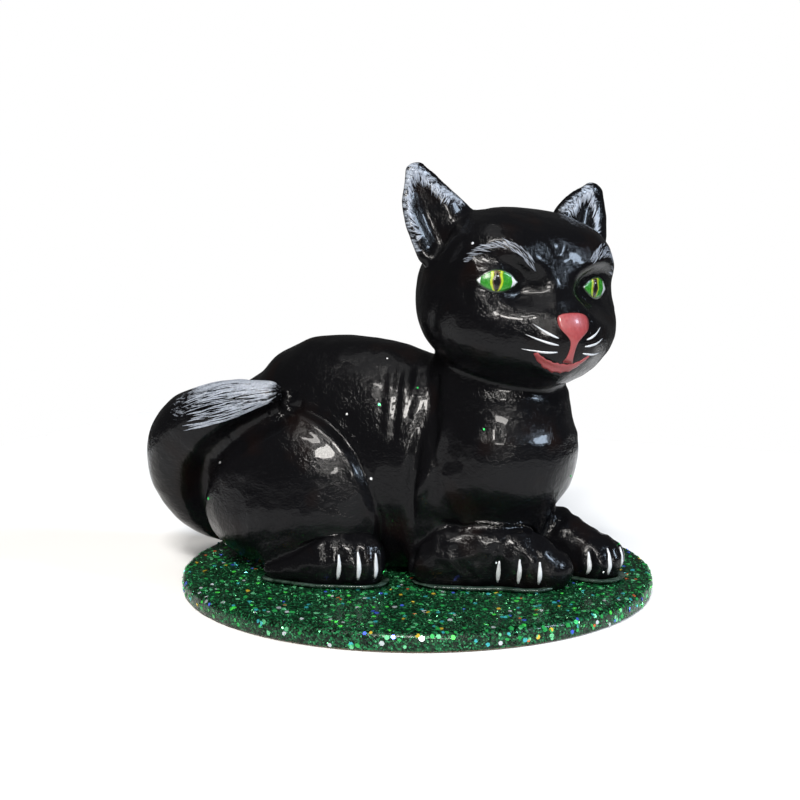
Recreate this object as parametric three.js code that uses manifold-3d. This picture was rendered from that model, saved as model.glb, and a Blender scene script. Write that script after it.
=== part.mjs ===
// Reclining black cat, paper over wire, glued to a round glitter-coated board.
// Frame: +X is the way the cat lies, +Y its left side, +Z up; the origin is the centre of the
// board's underside. Millimetres.
import * as THREE from 'three';
import { mergeVertices } from 'three/addons/utils/BufferGeometryUtils.js';
import Module from 'manifold-3d';

const wasm = await Module();
wasm.setup();

// ---------------------------------------------------------------- driving dimensions
const clearance = 0.3;          // gap between neighbouring pieces

const boardRadius = 66.7;
const boardThickness = 4.0;
const coatThickness = 0.9;
const coatEdgeRadius = 1.8;     // rounding of the coat's upper edge

const bodyLength = 112;         // rump to chest
const bodyWidth = 45;           // across the barrel
const backHeight = 67;          // top of the back above the coat
const bodyAxisY = -3.5;         // the cat lies a little to its right on the board

const chestWidth = 46;
const chestDepth = 43;
const chestSetback = 8;         // the chest's widest part lies this far behind the body's front
const neckRadius = 19;

const headWidth = 55;
const headHeight = 49;
const headDepth = 53;
const headCentreHeight = 78.5;  // above the coat
const headForward = 5.5;        // head centre ahead of the chest's middle
const headYaw = -36;            // degrees, turned to its right
const headRoll = 5;             // degrees, left side lower

const earHeight = 20.5;
const earWidth = 21;
const earThickness = 7;

const haunchLength = 61;
const haunchHeight = 51;
const haunchBulge = 9;          // how far a haunch stands out of the barrel
const haunchFlare = 0.22;       // the haunch spreads towards the ground
const hindFootLength = 36;
const hindFootThickness = 12;

const forelegThickness = 15;
const leftPawReach = 15;        // the left paw lies this far ahead of the right one

const tailThickness = 21;

const shellWall = 2.4;
const wireRadius = 0.9;
const glueWidth = 2.0;          // how far the glue creeps out past a piece
const glueHeight = 0.9;

// ---------------------------------------------------------------- derived places
const coatTop = boardThickness + clearance + coatThickness;
const seat = coatTop + clearance;               // where the cat's flat underside rests
const rumpX = -0.51 * bodyLength;
const chestX = rumpX + bodyLength - chestDepth / 2 - chestSetback;
const headCentre = new THREE.Vector3(chestX + headForward, bodyAxisY - 2.2, coatTop + headCentreHeight);
const haunchX = rumpX + 0.25 * bodyLength;
const haunchOuter = bodyWidth / 2 + haunchBulge;

// ---------------------------------------------------------------- solids
function toSolid(geometry) {
  const bare = geometry.clone();
  bare.deleteAttribute('normal');
  bare.deleteAttribute('uv');
  const merged = mergeVertices(bare, 1e-4);
  return new wasm.Manifold(new wasm.Mesh({
    numProp: 3,
    vertProperties: new Float32Array(merged.attributes.position.array),
    triVerts: new Uint32Array(merged.index.array),
  }));
}

function toGeometry(solid) {
  const mesh = solid.getMesh();
  const geometry = new THREE.BufferGeometry();
  geometry.setAttribute('position', new THREE.BufferAttribute(mesh.vertProperties, 3));
  geometry.setIndex(new THREE.BufferAttribute(mesh.triVerts, 1));
  geometry.computeVertexNormals();
  return geometry;
}

// Moves every vertex of a geometry to where place(vertex) says.
function reshape(geometry, place) {
  const position = geometry.attributes.position;
  const vertex = new THREE.Vector3();
  for (let i = 0; i < position.count; i += 1) {
    vertex.fromBufferAttribute(position, i);
    const moved = place(vertex);
    position.setXYZ(i, moved.x, moved.y, moved.z);
  }
  return geometry;
}

function unitBall(around, rings) {
  return new THREE.SphereGeometry(1, around, rings).rotateX(Math.PI / 2);
}

// A limb is a capsule bent along a curve. Each station is [x, y, z, width, height]: a point of the
// centre line with the half sizes of the section there. The width lies square to "up".
// "grow" moves the whole surface out (or in, when negative).
function limb(stations, { up = new THREE.Vector3(0, 0, 1), around, along, grow }) {
  const path = new THREE.CatmullRomCurve3(stations.map(([x, y, z]) => new THREE.Vector3(x, y, z)));
  const sizes = new THREE.CatmullRomCurve3(stations.map(([, , , w, h]) => new THREE.Vector3(w, h, 0)));
  const capsule = new THREE.CapsuleGeometry(1, 2, 3, around, along);
  return toSolid(reshape(capsule, (v) => {
    const inBody = THREE.MathUtils.clamp(v.y, -1, 1);
    const t = (inBody + 1) / 2;
    const tangent = path.getTangent(t);
    const side = new THREE.Vector3().crossVectors(up, tangent).normalize();
    const top = new THREE.Vector3().crossVectors(tangent, side);
    const size = sizes.getPoint(t);
    return path.getPoint(t)
      .addScaledVector(tangent, (v.y - inBody) * (Math.min(size.x, size.y) + grow))
      .addScaledVector(side, v.x * (size.x + grow))
      .addScaledVector(top, -v.z * (size.y + grow));
  }));
}

// A wire of round section along a smooth line through the points; "grow" gives its channel, which
// is longer at both ends too.
function wire(points, grow = 0) {
  const ends = points.map((point) => point.clone());
  const last = ends.length - 1;
  ends[0].addScaledVector(points[0].clone().sub(points[1]).normalize(), grow);
  ends[last].addScaledVector(points[last].clone().sub(points[last - 1]).normalize(), grow);
  const section = new THREE.Shape();
  section.absarc(0, 0, wireRadius + grow, 0, 2 * Math.PI);
  const extrudePath = new THREE.CatmullRomCurve3(ends);
  return toSolid(new THREE.ExtrudeGeometry(section, { extrudePath, steps: 4 * last, curveSegments: 4 }));
}

// Everything below the height z, for cutting flat undersides.
function below(z) {
  const reach = 4 * (boardRadius + bodyLength);
  const block = new THREE.BoxGeometry(reach, reach, reach);
  return toSolid(block.translate(0, 0, z - reach / 2));
}

// Everything past the cat's middle plane, seen from one side.
function pastMiddle(side) {
  const reach = 4 * (boardRadius + bodyLength);
  const block = new THREE.BoxGeometry(reach, reach, reach);
  return toSolid(block.translate(0, bodyAxisY + side * (clearance - reach) / 2, 0));
}

function without(solid, ...cutters) {
  return cutters.reduce((rest, cutter) => rest.subtract(cutter), solid);
}

const fromAxis = (away, side) => bodyAxisY + side * away;      // side is -1 on the right, +1 on the left

// ---------------------------------------------------------------- forms of the cat
// Each form takes "grow": positive makes the room that a neighbour leaves, negative the inner wall.
// "facets" scales the number of divisions; what nobody sees is coarser.
const fine = 1;
const coarse = 0.5;

function torsoForm(grow, facets = fine) {
  const at = (x, z, wide, high) => [
    rumpX + x * bodyLength, bodyAxisY, seat + z * backHeight, wide * bodyWidth / 2, high * backHeight / 2,
  ];
  return limb([
    at(0.15, 0.44, 0.84, 0.80),
    at(0.26, 0.48, 0.98, 1.0),
    at(0.38, 0.48, 1.0, 1.02),
    at(0.52, 0.45, 0.98, 0.96),
    at(0.66, 0.40, 0.92, 0.84),
  ], { around: 24 * facets, along: 8 * facets, grow });
}

function chestForm(grow, facets = fine) {
  const rise = headCentre.z - seat;
  const at = (x, y, z, wide, deep) => [chestX + x, bodyAxisY + y, seat + z * rise, wide, deep];
  return limb([
    at(-3.0, 0, 0.24, 0.84 * chestWidth / 2, 0.86 * chestDepth / 2),
    at(0.0, 0, 0.38, chestWidth / 2, chestDepth / 2),
    at(0.5, 0, 0.54, 0.98 * chestWidth / 2, 0.97 * chestDepth / 2),
    at(0.0, -1, 0.72, neckRadius, neckRadius),
    at(1.0, -2, 0.84, 0.9 * neckRadius, 0.9 * neckRadius),
  ], { up: new THREE.Vector3(-1, 0, 0), around: 24 * facets, along: 8 * facets, grow });
}

// Swellings and hollows of the head, each at a direction from its centre, in its own frame:
// +X out of the face, +Y to its left, +Z up. Rise in millimetres, spread in radians.
const headSwellings = [
  { to: [0.94, 0, -0.34], rise: 4.6, spread: 0.32 },           // muzzle
  { to: [0.72, 0, -0.70], rise: 2.2, spread: 0.30 },           // chin
  { to: [0.97, 0, 0.22], rise: -3.6, spread: 0.26 },           // bridge of the nose
  ...[-1, 1].flatMap((side) => [
    { to: [0.50, side * 0.78, -0.42], rise: 2.6, spread: 0.38 },   // cheek
    { to: [0.10, side * 0.72, 0.68], rise: 2.4, spread: 0.34 },    // skull under the ear
    { to: [0.74, side * 0.65, 0.16], rise: -3.6, spread: 0.24 },   // eye socket
    { to: [0.62, side * 0.56, 0.54], rise: 2.4, spread: 0.26 },    // brow
  ]),
];

function placeInHead(solid) {
  const turned = new THREE.Matrix4()
    .makeTranslation(headCentre)
    .multiply(new THREE.Matrix4().makeRotationZ(THREE.MathUtils.degToRad(headYaw)))
    .multiply(new THREE.Matrix4().makeRotationX(THREE.MathUtils.degToRad(-headRoll)));
  return solid.transform(turned.elements);
}

function headForm(grow, facets = fine) {
  const radii = new THREE.Vector3(headDepth / 2, headWidth / 2, headHeight / 2);
  return placeInHead(toSolid(reshape(unitBall(32 * facets, 20 * facets), (v) => {
    let rise = grow;
    for (const swelling of headSwellings) {
      const away = v.distanceToSquared(new THREE.Vector3(...swelling.to).normalize());
      rise += swelling.rise * Math.exp(-away / (2 * swelling.spread ** 2));
    }
    return v.clone().multiply(radii).addScaledVector(v, rise);
  })));
}

// A rounded triangle that stands on the skull and leans out.
function earForm(side, grow) {
  const rootY = 0.36 * headWidth;
  const rootZ = 0.27 * headHeight;
  const at = (x, out, up, wide, thin) => [
    x, side * (rootY + out * earHeight), rootZ + up * earHeight, wide * earWidth / 2, thin * earThickness / 2,
  ];
  return placeInHead(limb([
    at(-3.0, 0, 0, 1.04, 1.3),
    at(-4.8, 0.22, 0.40, 1.0, 1.1),
    at(-6.2, 0.38, 0.70, 0.72, 0.85),
    at(-7.0, 0.48, 0.91, 0.34, 0.6),
  ], { up: new THREE.Vector3(1, 0, 0), around: 14, along: 6, grow }));
}

function haunchForm(side, grow) {
  const thick = bodyWidth / 4 + haunchBulge;
  const ball = reshape(unitBall(22, 14), (v) => {
    const flare = 1 + haunchFlare * Math.max(0, -v.z);
    return new THREE.Vector3(
      v.x * (flare * haunchLength / 2 + grow),
      v.y * (flare * thick + grow),
      v.z * (haunchHeight / 2 + grow),
    );
  });
  return toSolid(ball.translate(haunchX, fromAxis(haunchOuter - thick, side), seat + 0.48 * haunchHeight));
}

function hindFootForm(side, grow, facets = fine) {
  const r = hindFootThickness / 2;
  const toeX = haunchX + haunchLength / 2;
  const at = (back, away, z, wide, high) => [
    toeX - back, fromAxis(haunchOuter - r + away, side), seat + z * r, wide * r, high * r,
  ];
  return limb([
    at(hindFootLength - r, 2.0, 0.8, 0.9, 0.8),
    at(hindFootLength / 2, 1.5, 0.8, 1.1, 0.95),
    at(r, -3.0, 0.7, 1.2, 0.9),
  ], { around: 14 * facets, along: 4 * facets, grow });
}

// The forearm lies along the ground from under the chest to the paw.
function forelegStations(side) {
  const r = forelegThickness / 2;
  const reach = side > 0 ? leftPawReach : 0;
  const frontX = chestX + chestDepth / 2 - 3;
  const high = side > 0 ? 1.2 : 1.0;            // the left forearm is drawn up higher
  const at = (x, ahead, away, z, wide, tall) => [
    frontX + x * r + ahead * reach, fromAxis(away * r, side), seat + z * r, wide * r, tall * r,
  ];
  return [
    at(-4.1, 0.3, 2.0, 1.2 * high, 1.1, 1.35 * high),
    at(-2.6, 0.5, 1.6, 1.15 * high, 1.1, 1.35 * high),
    at(-1.55, 0.9, 1.25, 0.95, 1.0, 1.12),
    at(-0.7, 1.0, 1.1, 0.7, 1.05, 0.85),
  ];
}

function forelegForm(side, grow, facets = fine) {
  return limb(forelegStations(side), { around: 16 * facets, along: 6 * facets, grow });
}

// The tail leaves the rump at the ground, swings out and back, and curls up over the right hip.
function tailStations() {
  const r = tailThickness / 2;
  const at = (x, y, z, wide, high) => [rumpX + x, bodyAxisY + y, seat + z * r, wide * r, high * r];
  return [
    at(1, 0, 0.75, 0.7, 0.7),
    at(-8, -6, 1.45, 0.95, 0.95),
    at(-11, -14, 2.75, 1.0, 1.05),
    at(-4, -20, 3.75, 0.95, 1.0),
    at(9, -23, 4.4, 0.8, 0.8),
    at(23, -22, 4.8, 0.45, 0.45),
  ];
}

function tailForm(grow) {
  return limb(tailStations(), { around: 16, along: 14, grow });
}

// ---------------------------------------------------------------- wires
const centres = (stations) => stations.map(([x, y, z]) => new THREE.Vector3(x, y, z));

function spinePoints() {
  const tail = centres(tailStations()).slice(0, 5).reverse();
  const middle = seat + 0.46 * backHeight;
  return [
    ...tail,
    new THREE.Vector3(rumpX + 0.22 * bodyLength, bodyAxisY, middle),
    new THREE.Vector3(rumpX + 0.48 * bodyLength, bodyAxisY, middle),
    new THREE.Vector3(chestX, bodyAxisY, seat + 0.52 * backHeight),
    headCentre,
  ];
}

function forelegPoints(side) {
  const [, , wrist, paw] = centres(forelegStations(side));
  const shoulder = new THREE.Vector3(chestX - 4, fromAxis(0.2 * chestWidth, side), seat + 0.42 * backHeight);
  const elbow = new THREE.Vector3(chestX, fromAxis(0.75 * forelegThickness, side), seat + 0.7 * forelegThickness);
  return [shoulder, elbow, wrist, paw];
}

function hindLegPoints(side) {
  return [
    new THREE.Vector3(haunchX - 4, fromAxis(0.2 * bodyWidth, side), seat + 0.5 * haunchHeight),
    new THREE.Vector3(haunchX - 2, fromAxis(haunchOuter - 9, side), seat + 0.5 * haunchHeight),
    new THREE.Vector3(haunchX + 8, fromAxis(haunchOuter - 8, side), seat + 0.3 * haunchHeight),
  ];
}

// ---------------------------------------------------------------- the group
const black = { color: 0x0c0c0d, roughness: 0.25, metalness: 0 };
const glitter = { color: 0x0f4a24, roughness: 0.55, metalness: 0.2 };
const fibreboard = { color: 0xb98f5e, roughness: 0.85, metalness: 0 };
const paper = { color: 0xcfc6b4, roughness: 0.95, metalness: 0 };
const steel = { color: 0x8d9094, roughness: 0.4, metalness: 0.9 };
const glue = { color: 0x8fa79b, roughness: 0.2, metalness: 0 };

const figure = new THREE.Group();

function addMesh(name, solid, look) {
  const mesh = new THREE.Mesh(toGeometry(solid), new THREE.MeshStandardMaterial(look));
  mesh.name = name;
  figure.add(mesh);
}

const sides = [{ side: -1, name: 'right' }, { side: 1, name: 'left' }];
const wires = [{ name: 'spine_wire', points: spinePoints() }];
for (const { side, name } of sides) {
  wires.push({ name: `foreleg_wire_${name}`, points: forelegPoints(side) });
  wires.push({ name: `hind_leg_wire_${name}`, points: hindLegPoints(side) });
}
const channels = wires.map(({ points }) => wire(points, clearance));

const underSeat = below(seat);
const headRoom = headForm(clearance);
const chestRoom = chestForm(clearance);
const torsoRoom = torsoForm(clearance);

function addShellAndCore(name, outer, form, cutters) {
  const inner = without(form(-shellWall, coarse), below(seat + shellWall));
  const core = without(form(-shellWall - clearance, coarse), below(seat + shellWall + clearance));
  addMesh(`${name}_shell`, without(outer, ...cutters, inner, ...channels), black);
  addMesh(`${name}_core`, without(core, ...cutters, ...channels), paper);
}

function addTrunk() {
  addShellAndCore('head', headForm(0), headForm, []);
  addShellAndCore('chest', chestForm(0), chestForm, [headRoom, underSeat]);
  addShellAndCore('torso', torsoForm(0), torsoForm, [chestRoom, headRoom, underSeat]);
}

function addLimbs() {
  const trunk = [headRoom, chestRoom, torsoRoom, underSeat, ...channels];
  for (const { side, name } of sides) {
    const haunchRoom = haunchForm(side, clearance);
    const footRoom = hindFootForm(side, clearance);
    addMesh(`ear_${name}`, without(earForm(side, 0), headRoom), black);
    addMesh(`haunch_${name}`, without(haunchForm(side, 0), pastMiddle(side), ...trunk), black);
    addMesh(`hind_foot_${name}`, without(hindFootForm(side, 0), haunchRoom, ...trunk), black);
    addMesh(`foreleg_${name}`, without(forelegForm(side, 0), haunchRoom, footRoom, ...trunk), black);
  }
  const haunchRooms = sides.map(({ side }) => haunchForm(side, clearance));
  addMesh('tail', without(tailForm(0), ...haunchRooms, ...trunk), black);
}

// A bead of dried glue round the foot of a piece, on the coat.
function glueBead(form, keepOff) {
  const reach = 4 * (boardRadius + bodyLength);
  const layer = new THREE.BoxGeometry(reach, reach, glueHeight).translate(0, 0, seat + glueHeight / 2);
  return without(form(glueWidth, coarse).intersect(toSolid(layer)), form(clearance, fine), ...keepOff);
}

function addGlue() {
  const haunches = sides.map(({ side }) => haunchForm(side, clearance));
  const trunk = [chestRoom, torsoRoom, tailForm(clearance), ...haunches];
  for (const { side, name } of sides) {
    const foreleg = (grow, facets) => forelegForm(side, grow, facets);
    const hindFoot = (grow, facets) => hindFootForm(side, grow, facets);
    const ownForeleg = forelegForm(side, glueWidth + clearance, coarse);
    const footRoom = hindFootForm(side, clearance);
    // The left bead gives way to the right one where the forelegs lie side by side.
    const otherForeleg = forelegForm(-side, side > 0 ? glueWidth + clearance : clearance);
    addMesh(`glue_forepaw_${name}`, glueBead(foreleg, [...trunk, otherForeleg, footRoom]), glue);
    addMesh(`glue_hind_foot_${name}`, glueBead(hindFoot, [...trunk, ownForeleg]), glue);
  }
}

function addBase() {
  const inner = boardRadius + clearance;
  const outer = inner + coatThickness;
  const underCoat = boardThickness + clearance;
  const profile = new THREE.Path();
  profile.moveTo(0, underCoat);
  profile.lineTo(inner, underCoat);
  profile.lineTo(inner, clearance);
  profile.lineTo(outer, clearance);
  profile.lineTo(outer, coatTop - coatEdgeRadius);
  profile.absarc(outer - coatEdgeRadius, coatTop - coatEdgeRadius, coatEdgeRadius, 0, Math.PI / 2);
  profile.lineTo(0, coatTop);
  const coat = new THREE.LatheGeometry(profile.getPoints(2), 64).rotateX(Math.PI / 2);
  addMesh('glitter_coat', toSolid(coat), glitter);
  const board = new THREE.CylinderGeometry(boardRadius, boardRadius, boardThickness, 64);
  board.rotateX(Math.PI / 2).translate(0, 0, boardThickness / 2);
  addMesh('base_board', toSolid(board), fibreboard);
}

addBase();
addTrunk();
addLimbs();
addGlue();
for (const { name, points } of wires) {
  addMesh(name, wire(points), steel);
}

export default figure;
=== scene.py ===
"""Looks of the reclining black cat figure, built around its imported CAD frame."""

import math
import random

import bmesh
import bpy
import numpy as np
from mathutils import Matrix, Vector, noise
from mathutils.bvhtree import BVHTree


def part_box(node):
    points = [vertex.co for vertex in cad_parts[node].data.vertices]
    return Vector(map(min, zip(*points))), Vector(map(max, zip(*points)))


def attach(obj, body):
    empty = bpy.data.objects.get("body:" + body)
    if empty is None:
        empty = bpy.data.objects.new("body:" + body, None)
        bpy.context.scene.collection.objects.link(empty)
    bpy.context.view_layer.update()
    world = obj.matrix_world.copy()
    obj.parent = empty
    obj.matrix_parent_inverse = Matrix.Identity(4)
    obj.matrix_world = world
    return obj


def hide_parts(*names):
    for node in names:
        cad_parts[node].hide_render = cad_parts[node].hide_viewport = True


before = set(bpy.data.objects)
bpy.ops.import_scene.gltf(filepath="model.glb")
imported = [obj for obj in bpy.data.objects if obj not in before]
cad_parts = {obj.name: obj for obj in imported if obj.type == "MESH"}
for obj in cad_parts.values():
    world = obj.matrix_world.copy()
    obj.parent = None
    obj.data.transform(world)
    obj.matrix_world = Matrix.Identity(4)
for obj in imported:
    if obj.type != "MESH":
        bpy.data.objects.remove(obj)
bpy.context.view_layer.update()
bpy.context.scene.view_settings.view_transform = "Standard"

MM = 0.001
SIDES = {"right": -1, "left": 1}
dice = random.Random(11)

# Pieces of painted paper that make the cat's outside.
OUTER_NODES = ["head_shell", "chest_shell", "torso_shell", "tail"]
for limb in ("ear", "haunch", "hind_foot", "foreleg"):
    OUTER_NODES += [f"{limb}_right", f"{limb}_left"]
CORE_NODES = ["head_core", "chest_core", "torso_core"]

# The head turns to its right and leans a little; the face's middle is just off the head's.
HEAD_TURN = Matrix.Rotation(math.radians(-36), 3, "Z") @ Matrix.Rotation(math.radians(-5), 3, "X")
FACE_SHIFT = -2.0
COAT_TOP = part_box("glitter_coat")[1].z

# The eyes, in millimetres in the face's own directions; EYE_APART is from nose to eye.
EYE_FORWARD = 17.0
EYE_APART = 16.2
EYE_UP = 4.4
EYE_LENGTH = 11.2
EYE_HEIGHT = 5.3
EYE_TURN = math.radians(19)
EYEBALL = 12.0
IRIS_SHIFT = {"right": 0.35, "left": -1.1}

# The skin's voxels, the shells it is cut into, and how deep under it the head's wad lies.
SKIN_VOXEL = 0.7
SHELL_THICKNESS = 0.9
WAD_DEPTH = 1.5


def middle_of(node):
    low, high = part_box(node)
    return (low + high) / 2


BODY_MIDDLE_Y = middle_of("torso_shell").y / MM
FACE_CENTRE = middle_of("head_core") + HEAD_TURN @ Vector((0, FACE_SHIFT * MM, 0))


def face(forward, left, up):
    """A point given in millimetres along the directions that the face points in."""
    return FACE_CENTRE + HEAD_TURN @ (Vector((forward, left, up)) * MM)


def face_path(side, rows):
    """Places on one side of the face, given by forward, the distance out and up."""
    return [face(forward, side * out, up) for forward, out, up in rows]


def place(x, y, z):
    return Vector((x, y, z)) * MM


def beside(side, rows):
    """Places given by x, the distance out from the body's middle plane, and z."""
    return [place(x, BODY_MIDDLE_Y + side * out, z) for x, out, z in rows]


def bell(value):
    """1 at 0 and falling away on both sides, to about a third at 1."""
    return np.exp(-value ** 2)


def eased(value):
    """A smooth step from 0 to 1."""
    value = np.clip(value, 0, 1)
    return value * value * (3 - 2 * value)


# ---- mesh helpers
def new_object(name, mesh):
    piece = bpy.data.objects.new(name, mesh)
    bpy.context.scene.collection.objects.link(piece)
    return piece


def mesh_from(name, points, faces):
    mesh = bpy.data.meshes.new(name)
    mesh.from_pydata(np.asarray(points).tolist(), [], [list(map(int, corners)) for corners in faces])
    mesh.update()
    return mesh


def rows_of(items, field, width, kind):
    """One field of a mesh's points or edges, as rows of numbers."""
    flat = np.empty(len(items) * width, kind)
    items.foreach_get(field, flat)
    return flat.reshape(-1, width)


def points_of(mesh):
    return rows_of(mesh.vertices, "co", 3, np.float32).astype(float)


def normals_of(mesh):
    return rows_of(mesh.vertex_normals, "vector", 3, np.float32).astype(float)


def edges_of(mesh):
    return rows_of(mesh.edges, "vertices", 2, np.int32)


def put_points(mesh, points):
    mesh.vertices.foreach_set("co", points.astype(np.float32).ravel())
    mesh.update()


def degree_of(edges, count):
    """How many edges meet at each of the mesh's points."""
    return np.bincount(edges.ravel(), minlength=count).astype(float)


def neighbour_mean(points, edges, degree):
    total = np.empty_like(points)
    for axis in range(points.shape[1]):
        column = points[:, axis]
        total[:, axis] = (
            np.bincount(edges[:, 0], column[edges[:, 1]], len(points))
            + np.bincount(edges[:, 1], column[edges[:, 0]], len(points))
        )
    return total / degree[:, None]


def smooth(mesh, rounds):
    """Evens a mesh out; each inward step is followed by one out, so it keeps its size."""
    points = points_of(mesh)
    edges = edges_of(mesh)
    degree = degree_of(edges, len(points))
    for _ in range(rounds):
        points += 0.6 * (neighbour_mean(points, edges, degree) - points)
        points -= 0.62 * (neighbour_mean(points, edges, degree) - points)
    put_points(mesh, points)


def spread_out(values, edges, rounds):
    """Each round moves every value three fifths of the way to its neighbours' mean."""
    degree = degree_of(edges, len(values))
    values = values.copy()
    for _ in range(rounds):
        values += 0.6 * (neighbour_mean(values, edges, degree) - values)
    return values


def tree_of(mesh):
    return BVHTree.FromPolygons(
        [vert.co for vert in mesh.vertices], [tuple(poly.vertices) for poly in mesh.polygons]
    )


def remeshed(name, nodes, voxel, rounds, lumps=()):
    """One fine closed surface round some CAD nodes, and round lumps: each a middle and radii."""
    work = bmesh.new()
    for middle, radii in lumps:
        placed = Matrix.Translation(middle) @ Matrix.Diagonal([*(radius * MM for radius in radii), 1])
        bmesh.ops.create_icosphere(work, subdivisions=4, radius=1, matrix=placed)
    for node in nodes:
        work.from_mesh(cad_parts[node].data)
    rough = bpy.data.meshes.new("rough")
    work.to_mesh(rough)
    work.free()
    piece = new_object(name, rough)
    remesh = piece.modifiers.new("fuse", "REMESH")
    remesh.mode = "VOXEL"
    remesh.voxel_size = voxel * MM
    evaluated = piece.evaluated_get(bpy.context.evaluated_depsgraph_get())
    fused = bpy.data.meshes.new_from_object(evaluated)
    fused.name = name
    piece.modifiers.clear()
    piece.data = fused
    fused.materials.clear()
    bpy.data.meshes.remove(rough)
    keep_largest_island(fused)
    smooth(fused, rounds)
    return piece


def keep_largest_island(mesh):
    """Keeps the outermost surface, which is the island with the most points."""
    work = bmesh.new()
    work.from_mesh(mesh)
    unseen = set(work.verts)
    islands = []
    while unseen:
        start = unseen.pop()
        island = [start]
        queue = [start]
        while queue:
            for edge in queue.pop().link_edges:
                for vert in edge.verts:
                    if vert in unseen:
                        unseen.remove(vert)
                        island.append(vert)
                        queue.append(vert)
        islands.append(island)
    islands.sort(key=len)
    for island in islands[:-1]:
        bmesh.ops.delete(work, geom=island, context="VERTS")
    work.to_mesh(mesh)
    work.free()


def grid_solid(top, bottom):
    """Points and faces of a thin closed sheet between two grids of points."""
    rows, columns = top.shape[:2]
    count = rows * columns
    number = np.arange(count).reshape(rows, columns)
    under = number + count
    faces = []
    for i in range(rows - 1):
        for j in range(columns - 1):
            faces.append((number[i, j], number[i + 1, j], number[i + 1, j + 1], number[i, j + 1]))
            faces.append((under[i, j], under[i, j + 1], under[i + 1, j + 1], under[i + 1, j]))
    rim = [*number[0, :], *number[1:, -1], *number[-1, -2::-1], *number[-2:0:-1, 0]]
    for first, second in zip(rim, rim[1:] + rim[:1]):
        faces.append((first, second, second + count, first + count))
    return np.concatenate([top.reshape(-1, 3), bottom.reshape(-1, 3)]), faces


def joined(parts):
    """Several sets of points and faces as one set."""
    points = []
    faces = []
    start = 0
    for part_points, part_faces in parts:
        points.append(np.asarray(part_points))
        faces += [tuple(corner + start for corner in corners) for corners in part_faces]
        start += len(part_points)
    return np.concatenate(points), faces


def shade_smooth(mesh):
    mesh.polygons.foreach_set("use_smooth", np.ones(len(mesh.polygons), bool))


def give_material(piece, material):
    piece.data.materials.clear()
    piece.data.materials.append(material)


def finish_piece(piece, material, replaced=()):
    give_material(piece, material)
    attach(piece, "root")
    if replaced:
        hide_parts(*replaced)


def add_parts(name, parts, material, rounded=True):
    """One piece made of several closed parts, each given as points and faces."""
    mesh = mesh_from(name, *joined(parts))
    if rounded:
        shade_smooth(mesh)
    finish_piece(new_object(name, mesh), material)


# ---- materials
def new_material(name, colour, roughness, **sockets):
    material = bpy.data.materials.new(name)
    material.use_nodes = True
    shader = material.node_tree.nodes["Principled BSDF"]
    shader.inputs["Base Color"].default_value = (*colour, 1)
    shader.inputs["Roughness"].default_value = roughness
    for socket, value in sockets.items():
        shader.inputs[socket.replace("_", " ")].default_value = value
    return material


def add_node(material, kind, **values):
    node = material.node_tree.nodes.new(kind)
    for name, value in values.items():
        if name in node.inputs:
            node.inputs[name].default_value = value
        else:
            setattr(node, name, value)
    return node


def link(material, output, target):
    material.node_tree.links.new(output, target)


def object_place(material, stretch=(1, 1, 1)):
    """Where a point of the surface is, in metres, drawn out along an axis if asked."""
    coordinates = add_node(material, "ShaderNodeTexCoord")
    mapping = add_node(material, "ShaderNodeMapping")
    mapping.inputs["Scale"].default_value = stretch
    link(material, coordinates.outputs["Object"], mapping.inputs["Vector"])
    return mapping.outputs["Vector"]


def noise_of(material, size, detail=3.0, stretch=(1, 1, 1), rough=0.55):
    """Cloudy noise whose lumps are about `size` millimetres across."""
    texture = add_node(material, "ShaderNodeTexNoise", Scale=1 / (size * MM), Detail=detail, Roughness=rough)
    link(material, object_place(material, stretch), texture.inputs["Vector"])
    return texture.outputs["Fac"]


def cells_of(material, size, output="Color"):
    """Random cells about `size` millimetres across."""
    texture = add_node(material, "ShaderNodeTexVoronoi", Scale=1 / (size * MM))
    link(material, object_place(material), texture.inputs["Vector"])
    return texture.outputs[output]


def ranged(material, value, start, end, low=0.0, high=1.0):
    """A value's stretch from start to end, made to run from low to high."""
    limits = {"From Min": start, "From Max": end, "To Min": low, "To Max": high}
    node = add_node(material, "ShaderNodeMapRange", **limits)
    link(material, value, node.inputs["Value"])
    return node.outputs["Result"]


def mixed(material, share, first, second):
    """A colour between two others, each of them a colour or another node's output."""
    node = add_node(material, "ShaderNodeMix", data_type="RGBA")
    link(material, share, node.inputs[0])
    for socket, colour in ((node.inputs[6], first), (node.inputs[7], second)):
        if isinstance(colour, tuple):
            socket.default_value = (*colour, 1)
        else:
            link(material, colour, socket)
    return node.outputs[2]


def calculated(material, operation, first, second):
    node = add_node(material, "ShaderNodeMath", operation=operation)
    for socket, value in zip(node.inputs, (first, second)):
        if isinstance(value, (int, float)):
            socket.default_value = value
        else:
            link(material, value, socket)
    return node.outputs["Value"]


def set_surface(material, colour=None, roughness=None, bumps=()):
    """Wires colour, roughness and a chain of bumps, each a height output and its depth in mm."""
    shader = material.node_tree.nodes["Principled BSDF"]
    if colour is not None:
        link(material, colour, shader.inputs["Base Color"])
    if roughness is not None:
        link(material, roughness, shader.inputs["Roughness"])
    normal = None
    for height, depth in bumps:
        bump = add_node(material, "ShaderNodeBump", Distance=depth * MM, Strength=1.0)
        link(material, height, bump.inputs["Height"])
        if normal is not None:
            link(material, normal, bump.inputs["Normal"])
        normal = bump.outputs["Normal"]
    if normal is not None:
        link(material, normal, shader.inputs["Normal"])


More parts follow.
